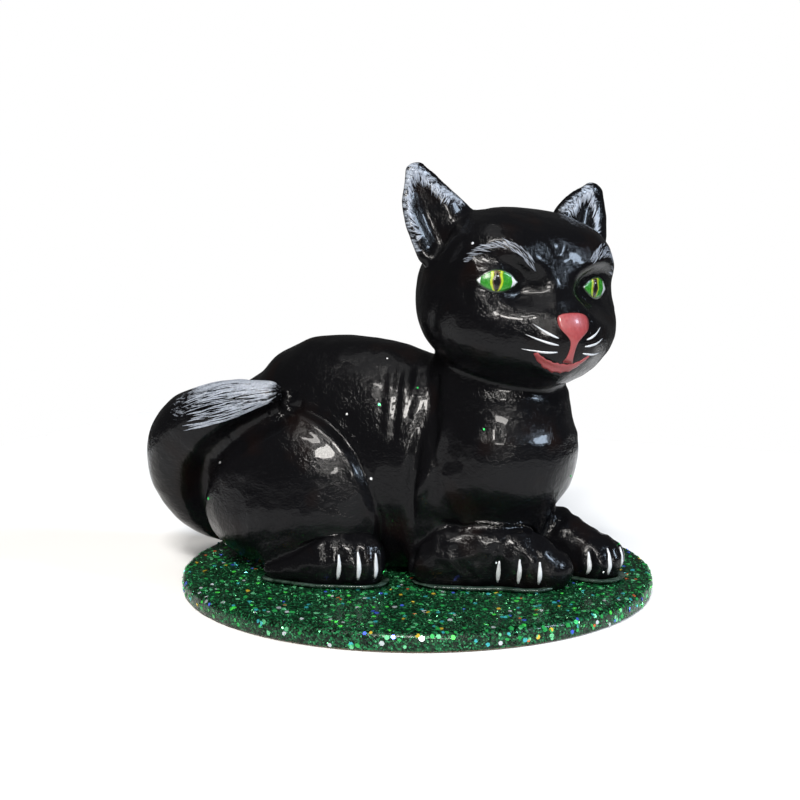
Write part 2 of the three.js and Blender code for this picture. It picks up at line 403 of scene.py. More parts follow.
def black_varnish():
    """Glossy black enamel: pitted, faintly brown where it is thin, dry-brushed with white."""
    material = new_material(
        "black_varnish", (0.006, 0.006, 0.007), 0.16,
        Specular_IOR_Level=0.10, Coat_Weight=0.13, Coat_Roughness=0.03,
    )
    patches = ranged(material, noise_of(material, 14, 2), 0.55, 0.75)
    black = mixed(material, patches, (0.0025, 0.0025, 0.003), (0.005, 0.0030, 0.0027))
    streaks = noise_of(material, 1.1, 4, (0.35, 1, 1.6), 0.7)
    brushed = add_node(material, "ShaderNodeAttribute", attribute_name="dry_brush")
    reach = calculated(material, "ADD", streaks, brushed.outputs["Fac"])
    cover = ranged(material, reach, 0.92, 1.12)
    colour = mixed(material, cover, black, (0.27, 0.30, 0.35))
    gloss = ranged(material, noise_of(material, 0.9, 5, rough=0.7), 0.3, 0.7, 0.05, 0.20)
    set_surface(
        material, colour, gloss,
        bumps=[
            (noise_of(material, 6, 2), 0.25),
            (noise_of(material, 1.5, 3, rough=0.7), 0.15),
            (noise_of(material, 0.5, 2), 0.12),
            (cells_of(material, 0.8, "Distance"), 0.02),
        ],
    )
    return material


def paint(name, light, dark, roughness=0.3):
    """Hand-laid acrylic: two close shades in fine streaks, a little raised where it is thick."""
    material = new_material(name, light, roughness, Coat_Weight=0.25, Coat_Roughness=0.15)
    streaks = noise_of(material, 0.5, 4, (1, 1, 0.4), 0.65)
    colour = mixed(material, ranged(material, streaks, 0.3, 0.7), dark, light)
    shine = ranged(material, noise_of(material, 0.8, 3), 0.3, 0.7, roughness * 0.7, roughness * 1.4)
    set_surface(material, colour, shine, [(streaks, 0.05)])
    return material


def green_coat():
    """Dark green glitter in glue: each tiny cell of the surface lies its own way, and some cells are painted
    brighter as painted glints.
    """
    material = new_material("green_coat", (0.004, 0.04, 0.012), 0.35, Specular_IOR_Level=0.3, Coat_Weight=0.1)
    cells = cells_of(material, 0.45)
    shade = add_node(material, "ShaderNodeSeparateColor")
    link(material, cells, shade.inputs["Color"])
    # Painted highlight: a share of the cells is painted a brighter green, as glints of flakes that catch the
    # light.
    glint = ranged(material, shade.outputs["Red"], 0.55, 0.98)
    deep = mixed(material, shade.outputs["Green"], (0.0005, 0.004, 0.0015), (0.002, 0.018, 0.006))
    colour = mixed(material, glint, deep, (0.009, 0.12, 0.04))
    shader = material.node_tree.nodes["Principled BSDF"]
    link(material, ranged(material, shade.outputs["Blue"], 0, 1, 0, 0.9), shader.inputs["Metallic"])
    set_surface(
        material, colour, ranged(material, shade.outputs["Green"], 0, 1, 0.22, 0.6),
        [(shade.outputs["Red"], 0.14), (noise_of(material, 1.6, 3), 0.3)],
    )
    return material


def foil(name, colour):
    """Thin coloured metal foil, each flake of a slightly different shade."""
    material = new_material(name, colour, 0.25, Metallic=0.55)
    bright = tuple(min(1.0, channel * 1.4 + 0.03) for channel in colour)
    set_surface(material, mixed(material, noise_of(material, 2.5, 2), colour, bright))
    return material


def dried_glue():
    material = new_material(
        "dried_glue", (0.03, 0.05, 0.04), 0.25, Transmission_Weight=0.35, IOR=1.46, Coat_Weight=0.1
    )
    cloudy = ranged(material, noise_of(material, 2.5, 4), 0.35, 0.7)
    set_surface(
        material, mixed(material, cloudy, (0.008, 0.022, 0.014), (0.07, 0.11, 0.09)), None,
        [(noise_of(material, 1.5, 3), 0.12)],
    )
    return material


def wadded_paper():
    material = new_material("wadded_paper", (0.58, 0.53, 0.44), 0.95)
    creases = noise_of(material, 5, 6, rough=0.65)
    fibres = noise_of(material, 0.6, 4, (1, 4, 1))
    # Painted shade: the paper is painted darker down in its creases and lighter on their tops.
    colour = mixed(material, ranged(material, creases, 0.3, 0.7), (0.36, 0.32, 0.25), (0.66, 0.62, 0.53))
    set_surface(material, colour, None, [(creases, 0.9), (fibres, 0.08)])
    return material


def fibreboard():
    material = new_material("fibreboard", (0.42, 0.29, 0.16), 0.85)
    fibres = noise_of(material, 0.5, 5, (1, 1, 5), 0.7)
    colour = mixed(material, ranged(material, fibres, 0.3, 0.7), (0.27, 0.17, 0.085), (0.50, 0.37, 0.22))
    set_surface(material, colour, None, [(fibres, 0.06), (noise_of(material, 7, 2), 0.1)])
    return material


def drawn_wire():
    material = new_material("drawn_wire", (0.50, 0.51, 0.53), 0.32, Metallic=1.0)
    rust = ranged(material, noise_of(material, 2.2, 5), 0.58, 0.72)
    colour = mixed(material, rust, (0.50, 0.51, 0.53), (0.26, 0.12, 0.05))
    marks = noise_of(material, 0.3, 3, (1, 1, 0.2))
    set_surface(material, colour, ranged(material, rust, 0, 1, 0.28, 0.7), [(marks, 0.02)])
    return material


# ---- shaping the skin
# A distance to a CAD node is measured only this near to the node's box, and goes up to FAR.
BOX_MARGIN = 4.0
FAR = 9.0

# How much of the facets' rounding the finer pieces take; the others take all of it.
FACET_SHARES = {"head": 0.45, "ear": 0.1, "hind": 0.25, "foreleg": 0.5}


class Clay:
    """The skin while it is worked: its points, the way each faces, all sizes in millimetres."""

    def __init__(self, mesh):
        self.mesh = mesh
        self.points = points_of(mesh) / MM
        self.normals = normals_of(mesh)
        self.distances = None

    def settle(self):
        put_points(self.mesh, self.points * MM)
        self.normals = normals_of(self.mesh)

    def push(self, amount):
        """Moves each point out by its own amount, or in by a negative one."""
        self.points += self.normals * amount[:, None]

    def dent(self, centre, radius, depth):
        away = np.linalg.norm(self.points - np.array(centre) / MM, axis=1) / radius
        self.push(-depth * bell(away))

    def groove(self, path, width, depth, mask=1.0):
        """A soft furrow along a path, or a ridge where the depth is negative."""
        self.push(-depth * bell(self.away_from(path) / width) * mask)

    def away_from(self, path):
        """How far each point is from a line through some places."""
        nearest = np.full(len(self.points), 1e9)
        corners = [np.array(corner) / MM for corner in path]
        for start, end in zip(corners, corners[1:]):
            along = end - start
            share = np.clip((self.points - start) @ along / (along @ along), 0, 1)
            gap = np.linalg.norm(self.points - start - share[:, None] * along, axis=1)
            nearest = np.minimum(nearest, gap)
        return nearest

    def wobble(self, size, height):
        """The unevenness of a surface that was built by hand."""
        lumps = [noise.noise(Vector(point) / size) for point in self.points]
        self.push(height * np.array(lumps))

    def measure_nodes(self):
        """How far each point is from each outer CAD node, or FAR if it is well outside its box."""
        self.distances = {}
        for node in OUTER_NODES:
            low, high = (np.array(corner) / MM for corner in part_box(node))
            gaps = np.full(len(self.points), FAR)
            inside = (self.points > low - BOX_MARGIN) & (self.points < high + BOX_MARGIN)
            tree = tree_of(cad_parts[node].data)
            for row in np.flatnonzero(np.all(inside, axis=1)):
                gap = tree.find_nearest(Vector(self.points[row] * MM), FAR * MM)[3]
                if gap is not None:
                    gaps[row] = gap / MM
            self.distances[node] = gaps

    def near(self, node, width):
        """1 on an outer node, and less and less away from it."""
        return bell(self.distances[node] / width)

    def owners(self):
        """The number of the nearest outer node at each point."""
        table = np.stack([self.distances[node] for node in OUTER_NODES], axis=1)
        return np.argmin(table, axis=1)

    def ease_facets(self, rounds):
        """Rounds off the CAD pieces' flat facets, most on the trunk and least on the ears."""
        edges = edges_of(self.mesh)
        rounded = spread_out(self.points, edges, rounds)
        rounded += spread_out(self.points - rounded, edges, rounds)
        shares = np.array([[FACET_SHARES.get(node.split("_")[0], 1.0)] for node in OUTER_NODES])
        share = spread_out(shares[self.owners()], edges, 30)
        self.points += share * (rounded - self.points)
        self.settle()

    def in_face(self):
        """Each point in the face's directions: forward, left and up."""
        turned = (self.points - np.array(FACE_CENTRE) / MM) @ np.array(HEAD_TURN)
        return turned[:, 0], turned[:, 1], turned[:, 2]

    def slide_forward(self, amount):
        """Moves each point along the way that the face points."""
        self.points += np.outer(amount, np.array(HEAD_TURN.col[0]))


# The joints between neighbouring pieces: their crease's depth and width, and a raised rim.
SEAMS = [
    ("head_shell", "chest_shell", 0.5, 2.6, 0.0),
    ("chest_shell", "torso_shell", 0.3, 1.3, 0.0),
    ("haunch_right", "haunch_left", 0.6, 1.5, 0.0),
    ("foreleg_right", "foreleg_left", 0.9, 1.0, 0.0),
    ("tail", "torso_shell", 0.8, 1.2, 0.3),
]
for limb_side in SIDES:
    SEAMS += [
        (f"haunch_{limb_side}", "torso_shell", 1.0, 0.9, 0.45),
        (f"haunch_{limb_side}", "tail", 2.3, 4.0, 0.5),
        (f"foreleg_{limb_side}", "chest_shell", 0.9, 1.1, 0.0),
        (f"foreleg_{limb_side}", "torso_shell", 0.8, 1.2, 0.0),
        (f"hind_foot_{limb_side}", f"haunch_{limb_side}", 0.7, 1.2, 0.2),
    ]


def press_seams(clay):
    for first, second, depth, width, rim in SEAMS:
        step = clay.distances[second] - clay.distances[first]
        near = bell(np.minimum(clay.distances[first], clay.distances[second]) / 2)
        crease = depth * bell(step / width)
        edge = rim * bell((step - 2.2 * width) / width)
        clay.push((edge - crease) * near)


def shape_eye(clay, side):
    """Sets the front of an eyeball into the head, with lids round it."""
    forward, left, up = clay.in_face()
    front = forward > 4
    outward = side * left - EYE_APART
    rise = up - EYE_UP
    # The ball's curve stops 7 mm towards the nose, and its socket runs out onto the cheek.
    away = outward ** 2 + rise ** 2
    bulge = np.where(outward < 0, np.minimum(away, 49), away) / (2 * EYEBALL)
    cheek = np.clip(-rise - EYE_HEIGHT / 2, 0, None)
    target = EYE_FORWARD - math.tan(EYE_TURN) * outward - bulge + 0.5 * cheek
    # The ring is 1 on the eye's own outline; past it the ball fades into the face, slowest below.
    ring = np.hypot(outward / (EYE_LENGTH / 2), rise / (EYE_HEIGHT / 2))
    fade = 1.7 + 1.1 * eased(0.5 - rise / 8) * bell(outward / 8)
    slide = (1 - eased((ring - 1.15) / fade)) * (target - forward)
    slide = np.where(outward > EYE_LENGTH / 2, np.minimum(slide, 0), slide)
    clay.slide_forward(np.where(front, slide, 0))
    clay.settle()
    # The lids are raised round the outline, the upper one more, under a hollow below the brow.
    lid = np.where(front, bell((ring - 1.28) / 0.16), 0)
    clay.push(lid * np.where(rise > 0, 0.35, 0.12))
    clay.settle()
    clay.dent(face(17.5, side * 12.5, 9.6), 3.4, 0.15)
    clay.settle()


def brow_path(side):
    """The ridge over an eye, from beside the nose up and out to the temple."""
    return face_path(side, [
        (24.5, 3.6, 1.5), (22.4, 5.8, 5.0), (20.8, 8.4, 9.0), (18.9, 11.8, 12.6), (16.4, 16.0, 14.4),
        (12.8, 20.2, 12.6), (9.8, 23.2, 8.8),
    ])


# The line of the mouth, left and up: from its right tip down under the nose to its left tip.
MOUTH = [
    (-8.2, -12.9), (-6.8, -14.4), (-4.6, -15.4), (-2.2, -16.3), (0.2, -16.7), (2.4, -15.9),
    (4.4, -14.8), (6.3, -13.0),
]

# Lines on both sides of the face, each with its width and depth: two ridges below the eye, the
# frown between the brows and the furrow from the temple down the cheek.
FACE_LINES = [
    ([(13.4, 20.4, -0.6), (16.2, 17.6, -2.6)], 1.3, -0.35),
    ([(18.4, 13.6, -1.8), (20.6, 9.8, -2.0)], 1.5, -0.35),
    ([(20.0, 2.6, 17.5), (20.8, 0.8, 12.5)], 1.1, 0.4),
    ([(5.7, 22.8, 12.3), (3.9, 24.8, 7), (4.9, 25.6, -1.6), (1.1, 24.7, -8.3)], 1.8, 0.55),
]


def shape_face(clay):
    """The eyes, brows, lines, cheeks, muzzle and chin, and the grooves that the mouth lies in."""
    for side in SIDES.values():
        shape_eye(clay, side)
        clay.groove(brow_path(side), 2.9, -0.45)
        for rows, width, depth in FACE_LINES:
            clay.groove(face_path(side, rows), width, depth)
        clay.dent(face(25.0, side * 5.5, -10.5), 4.5, -0.8)
        clay.settle()
    clay.dent(face(28.5, 0, -5.5), 3.6, -0.6)
    clay.dent(face(22.5, 0, -20.5), 4.5, -0.7)
    clay.groove([face(27.8, 0, -9.5), face(26.4, 0, -14.0)], 0.9, 0.4)
    clay.groove([face(25.0 - 0.02 * left ** 2, left, up) for left, up in MOUTH], 1.1, 0.5)
    clay.settle()


def ear_rim(side):
    """The edge of an ear, from its outer foot round the tip to its inner foot."""
    return face_path(side, [
        (-3.6, 29.0, 10.5), (-4.9, 32.0, 18.5), (-6.6, 32.2, 25.7), (-7.6, 30.0, 32.6),
        (-5.5, 26.8, 31.2), (-4.0, 22.2, 28.0), (-2.8, 16.5, 24.6),
    ])


# How far each ear's inner edge is drawn in, and how far its tip leans out.
EAR_DRAWN_IN = {"right": 3.4, "left": 0.4}
EAR_LEAN = {"right": 0.7, "left": 0.3}


def draw_in_ear(clay, name, side):
    """Makes an ear more pointed by moving its inner edge and its tip outwards."""
    _, left, up = clay.in_face()
    outward = side * left
    inner = np.clip((31 - outward) / 12, 0, 1)
    on_ear = (clay.distances[f"ear_{name}"] < 2.5) & (up > 17)
    shift = EAR_DRAWN_IN[name] * inner * bell((up - 28.5) / 4.2)
    shift += EAR_LEAN[name] * eased((up - 28) / 5)
    clay.points += np.outer(np.where(on_ear, side * shift, 0), np.array(HEAD_TURN.col[1]))
    clay.settle()


def shape_ears(clay):
    """Scoops out the front of each ear and leaves a rim round the scoop."""
    for name, side in SIDES.items():
        draw_in_ear(clay, name, side)
    facing = np.clip(clay.normals @ np.array(HEAD_TURN.col[0]) * 1.6, 0, 1)
    for name, side in SIDES.items():
        on_ear = clay.near(f"ear_{name}", 2.5) * facing
        middle = face_path(side, [(-5.0, 28.3, 27.0), (-3.0, 25.2, 19.5), (-1.0, 23.4, 14.0)])
        clay.groove(middle, 4.2, 2.6, on_ear)
        clay.groove(middle[1:], 5.6, 0.9, on_ear)
        clay.settle()


def flank_ribs(side):
    """Furrows down the flank between the haunch and the shoulder, no two alike."""
    return [
        (beside(side, [(-3.2, 13.6, 64.2), (-2.0, 18.6, 56.5), (-1.4, 20.2, 49.5)]), 1.3, 0.35),
        (beside(side, [(1.0, 11.4, 65.2), (2.2, 17.6, 56.0), (2.4, 20.0, 47.0)]), 1.0, 0.6),
        (beside(side, [(5.8, 10.4, 63.8), (6.2, 15.4, 57.0), (6.0, 18.0, 52.0)]), 1.1, 0.5),
    ]


def shape_shoulder(clay, side):
    """The furrow behind the upper arm, and the raised edge down from the chest to the elbow."""
    behind = beside(side, [(11.8, 15.5, 62.0), (10.6, 20.0, 50.0), (8.6, 21.5, 38.0), (7.2, 21.5, 15.0)])
    edge = beside(side, [(17.5, 20.5, 50.0), (14.8, 21.5, 42.0), (11.3, 21.5, 33.0), (7.0, 21.5, 22.5)])
    clay.groove(behind, 1.8, 1.8)
    clay.settle()
    clay.groove(edge, 2.0, -1.5)
    clay.settle()


def shape_body(clay):
    """Ribs and shoulders, and the ridges that the paper strips leave across the chest."""
    for side in SIDES.values():
        for rib, width, depth in flank_ribs(side):
            clay.groove(rib, width, depth)
        shape_shoulder(clay, side)
    on_chest = clay.near("chest_shell", 1.5)
    on_chest *= bell(np.clip(28 - clay.points[:, 0], 0, None) / 4)
    height = clay.points[:, 2]
    clay.push(0.9 * on_chest * bell((height - 42) / 7))
    clay.push(-2.2 * on_chest * bell((height - 24) / 6.5))
    clay.settle()
    for ridge in (57.4, 46.6):
        wave = 0.8 * np.sin(clay.points[:, 1] / 4 + ridge)
        clay.push(0.28 * on_chest * bell((height - ridge - wave) / 1.4))
    clay.push(-0.3 * on_chest * bell((height - 51.5) / 4))
    # One upright ridge runs down the right of the chest.
    clay.groove([place(31.5, -24.5, 57), place(31.8, -25, 46)], 0.9, -0.3)
    clay.settle()


# Each foot: the middle of its toes in x and y, the way its toes point in degrees, how far out its
# outer claws are and how high they start.
FEET = {
    "foreleg_right": (34.3, -13.5, -60, 5.3, 14.6),
    "foreleg_left": (51.0, 7.0, -47, 5.4, 14.8),
    "hind_foot_right": (-11.2, -25.0, -46, 4.9, 15.6),
    "hind_foot_left": (-11.2, 18.0, 46, 4.9, 15.6),
}


def sink(clay, node, first, last, share):
    """Lowers a limb bit by bit from x = first to x = last by a share of its height, or raises it."""
    along = eased((clay.points[:, 0] - first) / (last - first))
    rise = np.clip(clay.points[:, 2] - COAT_TOP / MM, 0, None)
    clay.points[:, 2] -= share * along * clay.near(node, 1.6) * rise


def shape_limbs(clay):
    """Runs the limbs out thin towards heel and elbow, lifts their toes and makes them lumpy."""
    for side in SIDES:
        sink(clay, f"hind_foot_{side}", -16, -34, 0.5)
        sink(clay, f"hind_foot_{side}", -24, -9, -0.42)
        sink(clay, f"foreleg_{side}", 19, 5, 0.38)
    sink(clay, "foreleg_right", 17, 31, -0.26)
    clay.settle()
    feet = np.min([clay.distances[node] for node in FEET], axis=0)
    lumps = np.array([noise.noise(Vector(point) / 2.6) for point in clay.points])
    clay.push(0.42 * lumps * bell(feet / 1.2))
    clay.settle()


# ---- toes and claws
def claw_paths(tree, foot):
    """Three lines down the front of a foot, found by casting rays at it from 30 mm away."""
    x, y, heading, apart, top = FEET[foot]
    angle = math.radians(heading)
    out = Vector((math.cos(angle), math.sin(angle), 0))
    aside = Vector((-math.sin(angle), math.cos(angle), 0))
    paths = []
    for step in (-1, 0, 1):
        path = []
        for height in np.linspace(0.28 * top + 3.4, top - 0.7 * abs(step), 8):
            start = place(x, y, height) + (out * 30 + aside * step * apart) * MM
            hit = tree.ray_cast(start, -out, 32 * MM)[0]
            if hit is not None:
                path.append(hit)
        paths.append(path)
    return paths


def shape_toes(clay):
    """Presses a line in between every two toes."""
    tree = tree_of(clay.mesh)
    for foot in FEET:
        for path in claw_paths(tree, foot):
            if len(path) > 1:
                clay.groove(path, 1.1, 0.75)
    clay.settle()


# ---- paint laid on the skin
def stroke(tree, path, half_widths, height, across=5):
    """A raised lick of paint along a path on the skin, as points and faces; sizes in mm."""
    centres = [tree.find_nearest(point) for point in path]
    tops = []
    bottoms = []
    for i, (centre, normal, _, _) in enumerate(centres):
        before = centres[max(i - 1, 0)][0]
        after = centres[min(i + 1, len(centres) - 1)][0]
        aside = (after - before).cross(normal).normalized()
        top = []
        bottom = []
        for share in np.linspace(-1, 1, across):
            spot, facing, _, _ = tree.find_nearest(centre + aside * share * half_widths[i] * MM)
            crown = 0.35 + 0.65 * (1 - share * share)
            top.append(spot + facing * height * crown * MM)
            bottom.append(spot - facing * 0.2 * MM)
        tops.append(top)
        bottoms.append(bottom)
    return grid_solid(np.array(tops), np.array(bottoms))


def tapered(count, widest, start=0.15, end=0.15, fullest=0.5):
    """Half widths that swell from a thin start and run out to a thin end."""
    shares = np.linspace(0, 1, count)
    bend = np.where(shares < fullest, shares / fullest, (1 - shares) / (1 - fullest))
    ends = np.where(shares < fullest, start, end)
    return widest * (ends + (1 - ends) * np.sin(bend * math.pi / 2))


def on_face(tree, left, up):
    """The place on the front of the face at a distance left and up of its middle."""
    hit = tree.ray_cast(face(60, left, up), -HEAD_TURN.col[0])[0]
    return hit if hit is not None else face(15, left, up)


def bent_path(points, count):
    """A smooth path of `count` points through a few places."""
    places = np.array([tuple(point) for point in points])
    marks = np.linspace(0, 1, len(places))
    fits = [np.polyfit(marks, places[:, k], min(len(places) - 1, 4)) for k in range(3)]
    return [Vector([np.polyval(fit, t) for fit in fits]) for t in np.linspace(0, 1, count)]


def walk(path, share):
    """The place at a share of the way along a path."""
    steps = len(path) - 1
    index = min(int(share * steps), steps - 1)
    return path[index].lerp(path[index + 1], share * steps - index)


def eye_frame(tree, side):
    """The middle of an eye, its way to the outer corner and its way up."""
    centre = on_face(tree, side * EYE_APART, EYE_UP)
    outward = HEAD_TURN @ Vector((-math.sin(EYE_TURN), side * math.cos(EYE_TURN), -0.02))
    return centre, outward, HEAD_TURN.col[2]


def eye_layer(tree, side, spans, height):
    """Paint on the eyeball: spans are rows of (outward, lowest, highest), all in mm."""
    centre, outward, upward = eye_frame(tree, side)
    path = [centre + (outward * x + upward * (low + high) / 2) * MM for x, low, high in spans]
    halves = [max((high - low) / 2, 0.06) for _, low, high in spans]
    return stroke(tree, path, halves, height, 9)


def almond(x):
    """The lowest and highest point of an eye's outline at a distance outward of its middle."""
    share = min(abs(2 * x / EYE_LENGTH), 1.0)
    upper = EYE_HEIGHT * 0.52 * (1 - share ** 1.9)
    lower = -EYE_HEIGHT * 0.48 * (1 - share ** 2.2)
    return lower, upper


def oval_spans(middle, half_length, half_height, count=17):
    """An upright oval, cut off where the eye's own outline cuts it."""
    spans = []
    for angle in np.linspace(-math.pi / 2, math.pi / 2, count):
        x = middle + half_length * math.sin(angle)
        reach = half_height * math.cos(angle)
        lower, upper = almond(x)
        spans.append((x, max(lower, -reach), min(upper, reach)))
    return spans


def paint_eyes(tree, paints):
    """Each eye in seven layers, each a little higher than the one before; the last is a painted highlight."""
    for name, side in SIDES.items():
        white = [(x, *almond(x)) for x in np.linspace(-EYE_LENGTH / 2, EYE_LENGTH / 2, 25)]
        iris_middle = IRIS_SHIFT[name]
        layers = [
            ("rim", [(x * 1.05, low * 1.10 - 0.12, high * 1.08 + 0.12) for x, low, high in white],
             0.07, "liner"),
            ("white", white, 0.13, "white"),
            ("iris", oval_spans(iris_middle, 4.3, 4.6), 0.19, "iris_green"),
            ("ring", oval_spans(iris_middle, 1.75, 3.6), 0.25, "iris_yellow"),
            ("pupil_edge", oval_spans(iris_middle, 1.2, 2.75), 0.30, "pupil_brown"),
            ("pupil", oval_spans(iris_middle, 0.85, 2.5), 0.35, "pupil_black"),
            # The glint is a painted highlight: a fleck of white paint where light would catch the pupil.
            ("glint", [(x + iris_middle, 1.3 - reach, 1.3 + reach) for x, reach in
                       zip((-0.45, -0.3, -0.1, 0.05), (0.08, 0.28, 0.26, 0.08))], 0.42, "white"),
        ]
        for layer, spans, height, colour in layers:
            part = eye_layer(tree, side, spans, height)
            add_parts(f"eye_{layer}_{name}", [part], paints[colour])


# The nose and the line below it: how far up each row is, and half its width.
NOSE_ROWS = [
    (-2.3, 3.2), (-2.6, 4.4), (-3.2, 4.9), (-4.0, 5.0), (-4.9, 4.9), (-5.8, 4.6), (-6.7, 3.9),
    (-7.6, 2.9), (-8.5, 1.9), (-9.4, 1.15), (-10.4, 0.9), (-11.4, 0.8), (-12.6, 0.85), (-13.8, 1.0),
    (-15.0, 1.6),
]


def paint_nose_and_mouth(tree, pink):
    """The pink nose, the line below it and the mouth."""
    middle_line = [on_face(tree, 0.3, up) for up, _ in NOSE_ROWS]
    nose = stroke(tree, middle_line, [half for _, half in NOSE_ROWS], 0.28, 11)
    count = 27
    path = bent_path([on_face(tree, left, up) for left, up in MOUTH], count)
    uneven = np.array([1 + 0.14 * math.sin(1.9 * step) for step in range(count)])
    mouth = stroke(tree, path, tapered(count, 1.55, 0.35, 0.2, 0.45) * uneven, 0.24, 7)
    add_parts("nose_and_mouth", [nose, mouth], pink)


def paint_whiskers(tree, white):
    """Three whiskers a side; each row is where the right one starts and ends, left and up."""
    rows = [(-9.9, -5.6, -4.2, -8.8), (-11.3, -8.4, -3.9, -10.6), (-11.3, -12.2, -3.8, -12.4)]
    for name, side in SIDES.items():
        parts = []
        for start_left, start_up, end_left, end_up in rows:
            middle = ((start_left + end_left) / 2, (start_up + end_up) / 2 - 0.35)
            marks = ((start_left, start_up), middle, (end_left, end_up))
            places = [on_face(tree, -side * left, up) for left, up in marks]
            parts.append(stroke(tree, bent_path(places, 11), tapered(11, 0.30, 0.12, 0.4, 0.7), 0.14))
        add_parts(f"whiskers_{name}", parts, white)


def short_hair(tree, start, along, length, width, bend=0.0):
    """One fine brush stroke, starting at a place and running along the skin."""
    spot, normal, _, _ = tree.find_nearest(start)
    along = (along - normal * along.dot(normal)).normalized()
    aside = along.cross(normal)
    path = []
    for share in np.linspace(0, 1, 5):
        path.append(spot + (along * share + aside * bend * share * share) * length * MM)
    return stroke(tree, path, tapered(5, width, 0.25, 0.12, 0.35), 0.09, 3)


# Where along its ridge the painting of each brow starts.
BROW_START = {"right": 0.36, "left": 0.47}


def paint_brows(tree, white):
    """Short hairs laid in and down over the brow's ridge."""
    for name, side in SIDES.items():
        arch = brow_path(side)
        parts = []
        count = 80
        for step in range(count):
            share = BROW_START[name] + (1 - BROW_START[name]) * (step + dice.random()) / count
            spot = walk(arch, share)
            ahead = walk(arch, min(share + 0.08, 1)) - walk(arch, max(share - 0.08, 0))
            start = spot + HEAD_TURN.col[2] * dice.uniform(-0.7, 1.5) * MM
            along = -ahead.normalized() - HEAD_TURN.col[2] * dice.uniform(0.45, 0.8)
            length = dice.uniform(1.4, 3.4)
            parts.append(short_hair(tree, start, along, length, dice.uniform(0.05, 0.1), 0.12 * side))
        add_parts(f"brow_strokes_{name}", parts, white)


def paint_ears(tree, white):
    """Short hairs from the ear's rim in towards its hollow, longest at the tip."""
    for name, side in SIDES.items():
        rim = ear_rim(side)
        hollow = face(-2.5, side * 26.0, 16.0)
        parts = []
        for _ in range(210):
            share = dice.uniform(0.04, 0.92)
            spot = walk(rim, share) + HEAD_TURN.col[0] * 2 * MM
            inward = (hollow - spot).normalized()
            start = spot + inward * dice.uniform(-0.3, 1.5) * MM
            along = inward + Vector([dice.uniform(-0.25, 0.25) for _ in range(3)])
            near_tip = 1 - min(abs(share - 0.5) * 2, 1)
            length = dice.uniform(1.0, 2.4) + 1.4 * near_tip
            parts.append(short_hair(tree, start, along, length, dice.uniform(0.06, 0.13)))
        add_parts(f"ear_strokes_{name}", parts, white)


TAIL_BRUSH_START = place(-58.5, -31.0, 52.5)
TAIL_BRUSH_END = place(-32.5, -26.8, 59.0)


def paint_tail(tree, white):
    """Long strokes over the top of the tail, which stop at a crisp edge near its tip."""
    along = (TAIL_BRUSH_END - TAIL_BRUSH_START).normalized()
    parts = []
    for _ in range(380):
        share = dice.uniform(0, 1) ** 0.7
        start = TAIL_BRUSH_START.lerp(TAIL_BRUSH_END, share * 0.86)
        spread = 4.6 + 3.6 * (1 - share)
        start = start + Vector((0, 0.45, 0.9)) * dice.uniform(-spread, 0.8 * spread) * MM
        length = min(dice.uniform(4, 9), (TAIL_BRUSH_END - start).dot(along) / MM + 1.0)
        if length > 1.5:
            width = dice.uniform(0.07, 0.17)
            parts.append(short_hair(tree, start, along, length, width, dice.uniform(-0.1, 0.1)))
    add_parts("tail_strokes", parts, white)


def paint_drop(tree, white):
    """A stray drop of white paint over the outer end of the right brow."""
    path = [tree.find_nearest(face(10.5, -20.7, up))[0] for up in (13.2, 13.6, 14.0)]
    add_parts("paint_drop", [stroke(tree, path, [0.18, 0.42, 0.18], 0.2)], white)


def paint_claws(tree, white):
    """A white claw down each line between the toes."""
    for foot in FEET:
        parts = []
        for path in claw_paths(tree, foot):
            if len(path) > 3:
                count = len(path)
                parts.append(stroke(tree, path, tapered(count, 0.66, 0.45, 0.3, 0.4), 0.3))
        add_parts(f"claws_{foot}", parts, white)


# ---- the skin's separate pieces
def dry_brush_mask(clay):
    """How much white was dragged over each point with an almost dry brush."""
    mask = np.zeros(len(clay.points))
    for name, side in SIDES.items():
        rim = bell(clay.away_from(ear_rim(side)) / 2.6)
        mask = np.maximum(mask, 0.56 * rim * clay.near(f"ear_{name}", 1.5))
        mask = np.maximum(mask, 0.28 * bell(clay.away_from(brow_path(side)[2:6]) / 1.5))
    away = clay.away_from([TAIL_BRUSH_START, TAIL_BRUSH_END])
    return np.maximum(mask, 0.40 * clay.near("tail", 1.0) * (1 - eased((away - 3.5) / 4.5)))


def face_owners(mesh, owners):
    """The outer node that each face belongs to: the one most of its corners are nearest."""
    result = np.empty(len(mesh.polygons), int)
    for poly in mesh.polygons:
        result[poly.index] = np.bincount(owners[list(poly.vertices)]).argmax()
    return result


def even_borders(clay, face_owner):
    """Draws the points on a border between two pieces into a smooth line."""
    mesh = clay.mesh
    on_border = np.zeros(len(clay.points), bool)
    first = np.full(len(clay.points), -1)
    for poly in mesh.polygons:
        for corner in poly.vertices:
            if first[corner] < 0:
                first[corner] = face_owner[poly.index]
            elif first[corner] != face_owner[poly.index]:
                on_border[corner] = True
    edges = edges_of(mesh)
    edges = edges[on_border[edges[:, 0]] & on_border[edges[:, 1]]]
    degree = degree_of(edges, len(clay.points))
    moving = degree > 0
    degree[~moving] = 1
    for _ in range(6):
        mean = neighbour_mean(clay.points, edges, degree)
        clay.points[moving] += 0.5 * (mean[moving] - clay.points[moving])
    clay.settle()


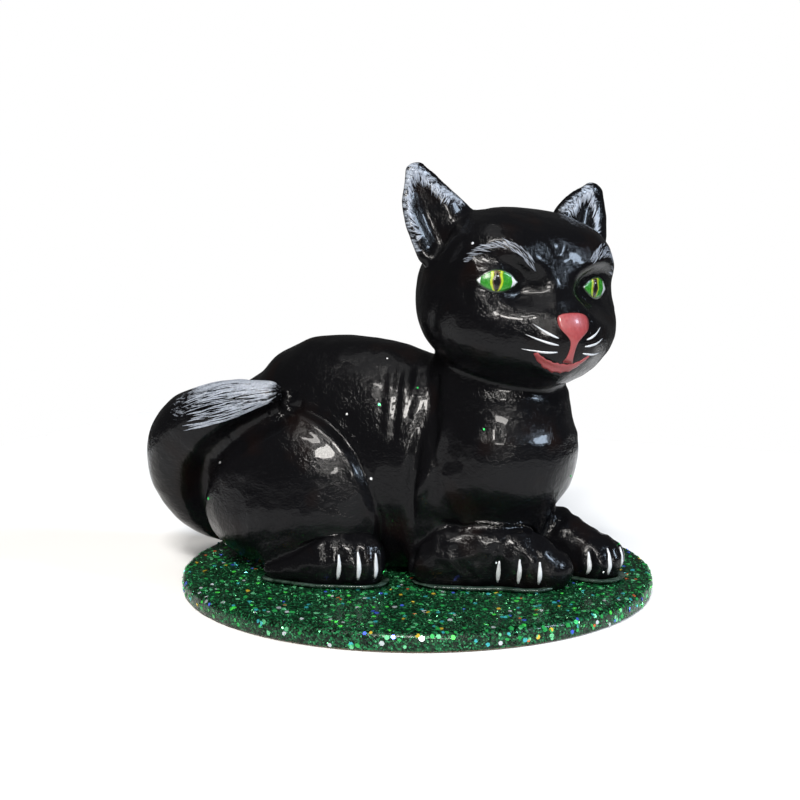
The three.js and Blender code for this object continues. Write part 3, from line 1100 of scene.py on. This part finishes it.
def shell_piece(name, clay, chosen, mask):
    """A closed shell under some faces of the skin, shaded as one with its neighbours."""
    corners = [list(clay.mesh.polygons[index].vertices) for index in chosen]
    used = sorted({corner for face_corners in corners for corner in face_corners})
    number = {old: new for new, old in enumerate(used)}
    count = len(used)
    outer = clay.points[used] * MM
    normals = clay.normals[used]
    inner = outer - normals * SHELL_THICKNESS * MM
    faces = [[number[corner] for corner in face_corners] for face_corners in corners]
    half_edges = set()
    for face_corners in faces:
        half_edges.update(zip(face_corners, face_corners[1:] + face_corners[:1]))
    rim = [(b, a, a + count, b + count) for a, b in half_edges if (b, a) not in half_edges]
    lining = [[corner + count for corner in reversed(face_corners)] for face_corners in faces]
    mesh = mesh_from(name, np.concatenate([outer, inner]), faces + lining + sorted(rim))
    shade_smooth(mesh)
    mesh.normals_split_custom_set_from_vertices(np.concatenate([normals, -normals]).tolist())
    brushed = mesh.attributes.new("dry_brush", "FLOAT", "POINT")
    brushed.data.foreach_set("value", np.tile(mask[used], 2).astype(np.float32))
    return new_object(name, mesh)


def add_head_wad(tree, material):
    """The wad of paper in the head, kept just under the shaped skin."""
    wad = remeshed("head_wad", ["head_core"], 1.2, 4)
    points = points_of(wad.data)
    for row, point in enumerate(points):
        spot, normal, _, _ = tree.find_nearest(Vector(point))
        if (Vector(point) - spot).dot(normal) > -WAD_DEPTH * MM:
            points[row] = spot - normal * WAD_DEPTH * MM
    put_points(wad.data, points)
    shade_smooth(wad.data)
    finish_piece(wad, material, ["head_core"])


# The right forepaw's last toes, up against the left forepaw, as a lump: its middle and radii.
INNER_TOES = [(place(42.5, -10.0, 10.2), (7.5, 6.8, 6.2))]


def add_skin(black):
    """Shapes the skin, cuts it into one shell for each outer node and gives back its surface."""
    skin = remeshed("skin", OUTER_NODES + CORE_NODES, SKIN_VOXEL, 20, INNER_TOES)
    clay = Clay(skin.data)
    clay.measure_nodes()
    clay.ease_facets(55)
    clay.measure_nodes()
    press_seams(clay)
    clay.settle()
    shape_body(clay)
    shape_limbs(clay)
    shape_ears(clay)
    shape_face(clay)
    shape_toes(clay)
    clay.wobble(9.0, 0.35)
    clay.wobble(3.2, 0.10)
    clay.settle()
    smooth(clay.mesh, 3)
    clay.points = points_of(clay.mesh) / MM
    clay.settle()
    owner = face_owners(clay.mesh, clay.owners())
    even_borders(clay, owner)
    mask = dry_brush_mask(clay)
    for number, node in enumerate(OUTER_NODES):
        chosen = np.flatnonzero(owner == number)
        piece = shell_piece(f"painted_{node}", clay, chosen, mask)
        finish_piece(piece, black, [node])
    tree = tree_of(clay.mesh)
    bpy.data.objects.remove(skin)
    return tree


# ---- base
# The coat's points: rows over its flat top, points round each row, and how round its edge is.
COAT_TOP_ROWS = 78
COAT_AROUND = 300
COAT_EDGE = 1.9


def coat_profile():
    """Radius and height round the coat: over the top, round the rim and back inside the edge."""
    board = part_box("base_board")[1] / MM
    low, high = (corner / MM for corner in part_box("glitter_coat"))
    bend = high.x - COAT_EDGE
    rows = [(radius, high.z) for radius in np.linspace(0.5, bend, COAT_TOP_ROWS)]
    for angle in np.linspace(math.radians(12), math.radians(90), 9):
        rows.append((bend + COAT_EDGE * math.sin(angle), high.z - COAT_EDGE * (1 - math.cos(angle))))
    rows.append((high.x, (high.z + low.z) / 2))
    rows.append((high.x - 0.2, low.z + 0.3))
    rows.append((high.x - 0.5, low.z))
    inner = board.x + 0.4
    ceiling = board.z + 0.3
    return rows, [(inner, low.z), (inner, ceiling), (0.5, ceiling)]


def add_coat(material):
    """The coat's lumpy surface, which wraps the board; gives back the surface for the flakes."""
    outside, inside = coat_profile()
    around = COAT_AROUND
    points = []
    for row, (radius, height) in enumerate(outside + inside):
        for step in range(around):
            angle = step * math.tau / around
            spot = Vector((radius * math.cos(angle), radius * math.sin(angle), height))
            if row < len(outside) - 1:
                lump = noise.noise(spot / 7) * 0.10 + noise.noise(spot / 1.9) * 0.09
                spot.z += lump - 0.12
                if row >= COAT_TOP_ROWS:
                    spot.xy *= 1 + (noise.noise(spot / 4) * 0.25 - 0.2) / radius
            points.append(spot * MM)
    rows = len(outside) + len(inside)
    faces = []
    for row in range(rows - 1):
        for step in range(around):
            after = (step + 1) % around
            a, b = row * around + step, row * around + after
            faces.append((a, a + around, b + around, b))
    faces.append(tuple(range(around)))
    faces.append(tuple(range(rows * around - 1, (rows - 1) * around - 1, -1)))
    mesh = mesh_from("glitter_surface", points, faces)
    shade_smooth(mesh)
    finish_piece(new_object("glitter_surface", mesh), material, ["glitter_coat"])
    return tree_of(mesh)


def flake(spot, normal, aside, size, above):
    """A thin six-sided flake that lies on a surface, as points and faces; sizes in mm."""
    across = normal.cross(aside)
    turns = [k * math.tau / 6 for k in range(6)]
    spokes = [(aside * math.cos(turn) + across * math.sin(turn)) * size * MM for turn in turns]
    upper = [spot + normal * above * MM + spoke for spoke in spokes]
    lower = [spot - normal * 0.05 * MM + spoke for spoke in spokes]
    faces = [(0, 1, 2, 3, 4, 5), (11, 10, 9, 8, 7, 6)]
    faces += [(k, k + 6, (k + 1) % 6 + 6, (k + 1) % 6) for k in range(6)]
    return upper + lower, faces


def scattered_flakes(tree, count, smallest, largest, tilt):
    """Flakes strewn over the coat's top and rim, each tilted by chance."""
    coat_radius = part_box("glitter_coat")[1].x
    parts = []
    for _ in range(count):
        angle = dice.uniform(0, math.tau)
        out = Vector((math.cos(angle), math.sin(angle), 0))
        radius = coat_radius * math.sqrt(dice.uniform(0.02, 1.16))
        if radius < coat_radius * 0.985:
            start = out * radius + Vector((0, 0, 20 * MM))
            hit, normal, _, _ = tree.ray_cast(start, Vector((0, 0, -1)))
        else:
            start = out * coat_radius * 1.1 + Vector((0, 0, dice.uniform(0.8, 4.9) * MM))
            hit, normal, _, _ = tree.ray_cast(start, -out)
        if hit is not None:
            normal = (normal + Vector([dice.gauss(0, tilt) for _ in range(3)])).normalized()
            aside = normal.orthogonal().normalized()
            aside.rotate(Matrix.Rotation(dice.uniform(0, math.tau), 3, normal))
            parts.append(flake(hit, normal, aside, dice.uniform(smallest, largest), 0.10))
    return parts


# Foil colours of the larger flakes, and how many of each there are.
FLAKES = {
    "green": ((0.008, 0.26, 0.05), 700), "lime": ((0.05, 0.62, 0.06), 90),
    "mint": ((0.10, 0.40, 0.19), 240), "cyan": ((0.02, 0.28, 0.30), 150),
    "blue": ((0.03, 0.07, 0.45), 90), "gold": ((0.50, 0.34, 0.02), 60),
    "copper": ((0.40, 0.08, 0.02), 60), "silver": ((0.36, 0.39, 0.41), 90),
}
# The fine glitter between them, and the flakes that lie on the cat.
FINE_GLITTER = {"deep": (0.003, 0.07, 0.02), "light": (0.02, 0.19, 0.07)}
STRAY_FLAKES = {"green": (0.02, 0.62, 0.12), "silver": (0.80, 0.84, 0.86)}


def add_flakes(name, parts, material):
    add_parts(name, parts, material, rounded=False)


def add_base(coat):
    """The glitter coat with its larger flakes and its fine ones."""
    tree = add_coat(coat)
    for name, (colour, count) in FLAKES.items():
        parts = scattered_flakes(tree, count, 0.42, 0.74, 0.16)
        add_flakes(f"flakes_{name}", parts, foil(f"foil_{name}", colour))
    for name, colour in FINE_GLITTER.items():
        parts = scattered_flakes(tree, 2600, 0.16, 0.30, 0.30)
        add_flakes(f"fine_glitter_{name}", parts, foil(f"fine_foil_{name}", colour))


def add_stray_flakes(tree):
    """The few flakes that landed on the cat while the base was being covered."""
    for name, colour in STRAY_FLAKES.items():
        parts = []
        for _ in range(20):
            angle = dice.uniform(0, math.tau)
            height = 8 + 62 * dice.random() ** 1.7
            out = Vector((math.cos(angle), math.sin(angle), 0))
            start = place(-12, BODY_MIDDLE_Y, height) + out * 120 * MM
            hit, normal, _, _ = tree.ray_cast(start, -out)
            if hit is not None:
                aside = normal.orthogonal().normalized()
                parts.append(flake(hit, normal, aside, dice.uniform(0.24, 0.42), 0.12))
        add_flakes(f"stray_flakes_{name}", parts, foil(f"stray_foil_{name}", colour))


def add_glue(material):
    """The dried glue that was squeezed out under each foot."""
    for node in [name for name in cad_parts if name.startswith("glue_")]:
        piece = remeshed(f"{node}_bead", [node], 0.3, 12)
        shade_smooth(piece.data)
        finish_piece(piece, material, [node])


def dress_inner_nodes(wad):
    """Better finishes for the CAD pieces that are still shown."""
    board = fibreboard()
    wire = drawn_wire()
    for name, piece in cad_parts.items():
        if name == "base_board":
            give_material(piece, board)
        elif name.endswith("_core"):
            give_material(piece, wad)
        elif "_wire" in name:
            give_material(piece, wire)


# ---- stage, camera and lights
def direction(azimuth, elevation):
    """The way from the figure out to an azimuth and elevation in degrees."""
    turn = math.radians(azimuth)
    lift = math.radians(elevation)
    return Vector((math.cos(lift) * math.sin(turn), -math.cos(lift) * math.cos(turn), math.sin(lift)))


def add_floor():
    """A pale floor, just under the figure."""
    corners = [place(260 * x, 260 * y, -0.2) for x, y in ((-1, -1), (1, -1), (1, 1), (-1, 1))]
    floor = new_object("floor", mesh_from("floor", corners, [(0, 1, 2, 3)]))
    floor.data.materials.append(new_material("floor_white", (0.76, 0.76, 0.76), 0.9))


WARM = (1.0, 0.97, 0.93)
DAYLIGHT = (0.66, 0.81, 1.0)
CAMERA_AZIMUTH = 22
CAMERA_ELEVATION = 14.5
CAMERA_DISTANCE = 420
LIGHT_DISTANCE = 3000


def add_camera():
    """Looks from the cat's right, and a little in front, at a place over the base."""
    base = Vector((0, 0, COAT_TOP))
    stand = base + direction(CAMERA_AZIMUTH, CAMERA_ELEVATION) * CAMERA_DISTANCE * MM
    aim = base + place(0, 0, 48.2) - direction(CAMERA_AZIMUTH + 90, 0) * 5 * MM
    data = bpy.data.cameras.new("camera")
    data.lens = 64.3
    data.sensor_width = 36
    data.clip_start = 0.01
    camera = new_object("camera", data)
    camera.location = stand
    camera.rotation_euler = (aim - stand).to_track_quat("-Z", "Y").to_euler()
    bpy.context.scene.camera = camera


def add_area_light(name, azimuth, elevation, size, power, colour):
    """A soft light at an azimuth and elevation about the figure, in degrees."""
    out = direction(azimuth, elevation)
    data = bpy.data.lights.new(name, "AREA")
    data.shape = "RECTANGLE"
    data.size, data.size_y = size
    data.energy = power
    data.color = colour
    light = new_object(name, data)
    light.location = place(0, 0, 50) + out * LIGHT_DISTANCE * MM
    light.rotation_euler = (-out).to_track_quat("-Z", "Y").to_euler()


def add_world():
    """A white surround, which lights the figure much more dimly than it looks."""
    world = bpy.data.worlds.new("studio")
    world.use_nodes = True
    tree = world.node_tree
    background = tree.nodes["Background"]
    background.inputs["Color"].default_value = (1, 1, 1, 1)
    seen = tree.nodes.new("ShaderNodeLightPath")
    strength = tree.nodes.new("ShaderNodeMapRange")
    strength.inputs["To Min"].default_value = 0.06
    strength.inputs["To Max"].default_value = 1.0
    tree.links.new(seen.outputs["Is Camera Ray"], strength.inputs["Value"])
    tree.links.new(strength.outputs["Result"], background.inputs["Strength"])
    bpy.context.scene.world = world


def make_paints():
    """The black varnish and the paints that are laid on it."""
    return {
        "black": black_varnish(),
        "white": paint("white_paint", (0.48, 0.49, 0.50), (0.34, 0.36, 0.39)),
        "brushed_white": paint("brushed_white", (0.31, 0.34, 0.39), (0.14, 0.16, 0.20), 0.35),
        "pink": paint("pink_paint", (0.23, 0.034, 0.036), (0.18, 0.025, 0.027), 0.42),
        "iris_green": paint("iris_green", (0.025, 0.19, 0.012), (0.007, 0.10, 0.008), 0.25),
        "iris_yellow": paint("iris_yellow", (0.31, 0.36, 0.016), (0.18, 0.29, 0.012), 0.25),
        "pupil_brown": paint("pupil_brown", (0.10, 0.06, 0.02), (0.03, 0.02, 0.01), 0.25),
        "pupil_black": paint("pupil_black", (0.006, 0.006, 0.006), (0.003, 0.003, 0.003), 0.2),
        "liner": paint("eye_liner", (0.012, 0.03, 0.012), (0.004, 0.008, 0.004), 0.3),
    }


add_floor()
add_camera()
add_world()
add_area_light("key", 20, 38, (0.60, 0.50), 105, WARM)
add_area_light("window", 90, 28, (0.55, 0.50), 68, DAYLIGHT)
add_area_light("high", 2, 54, (0.90, 0.26), 48, WARM)
add_area_light("low", 33, 15, (0.50, 0.36), 38, WARM)
add_area_light("top", -30, 80, (1.6, 1.6), 10, (1, 1, 1))

paints = make_paints()
skin_tree = add_skin(paints["black"])
paint_eyes(skin_tree, paints)
paint_nose_and_mouth(skin_tree, paints["pink"])
paint_whiskers(skin_tree, paints["white"])
paint_brows(skin_tree, paints["brushed_white"])
paint_ears(skin_tree, paints["brushed_white"])
paint_tail(skin_tree, paints["brushed_white"])
paint_drop(skin_tree, paints["white"])
paint_claws(skin_tree, paints["white"])
add_base(green_coat())
add_stray_flakes(skin_tree)
add_glue(dried_glue())
wad_paper = wadded_paper()
add_head_wad(skin_tree, wad_paper)
dress_inner_nodes(wad_paper)
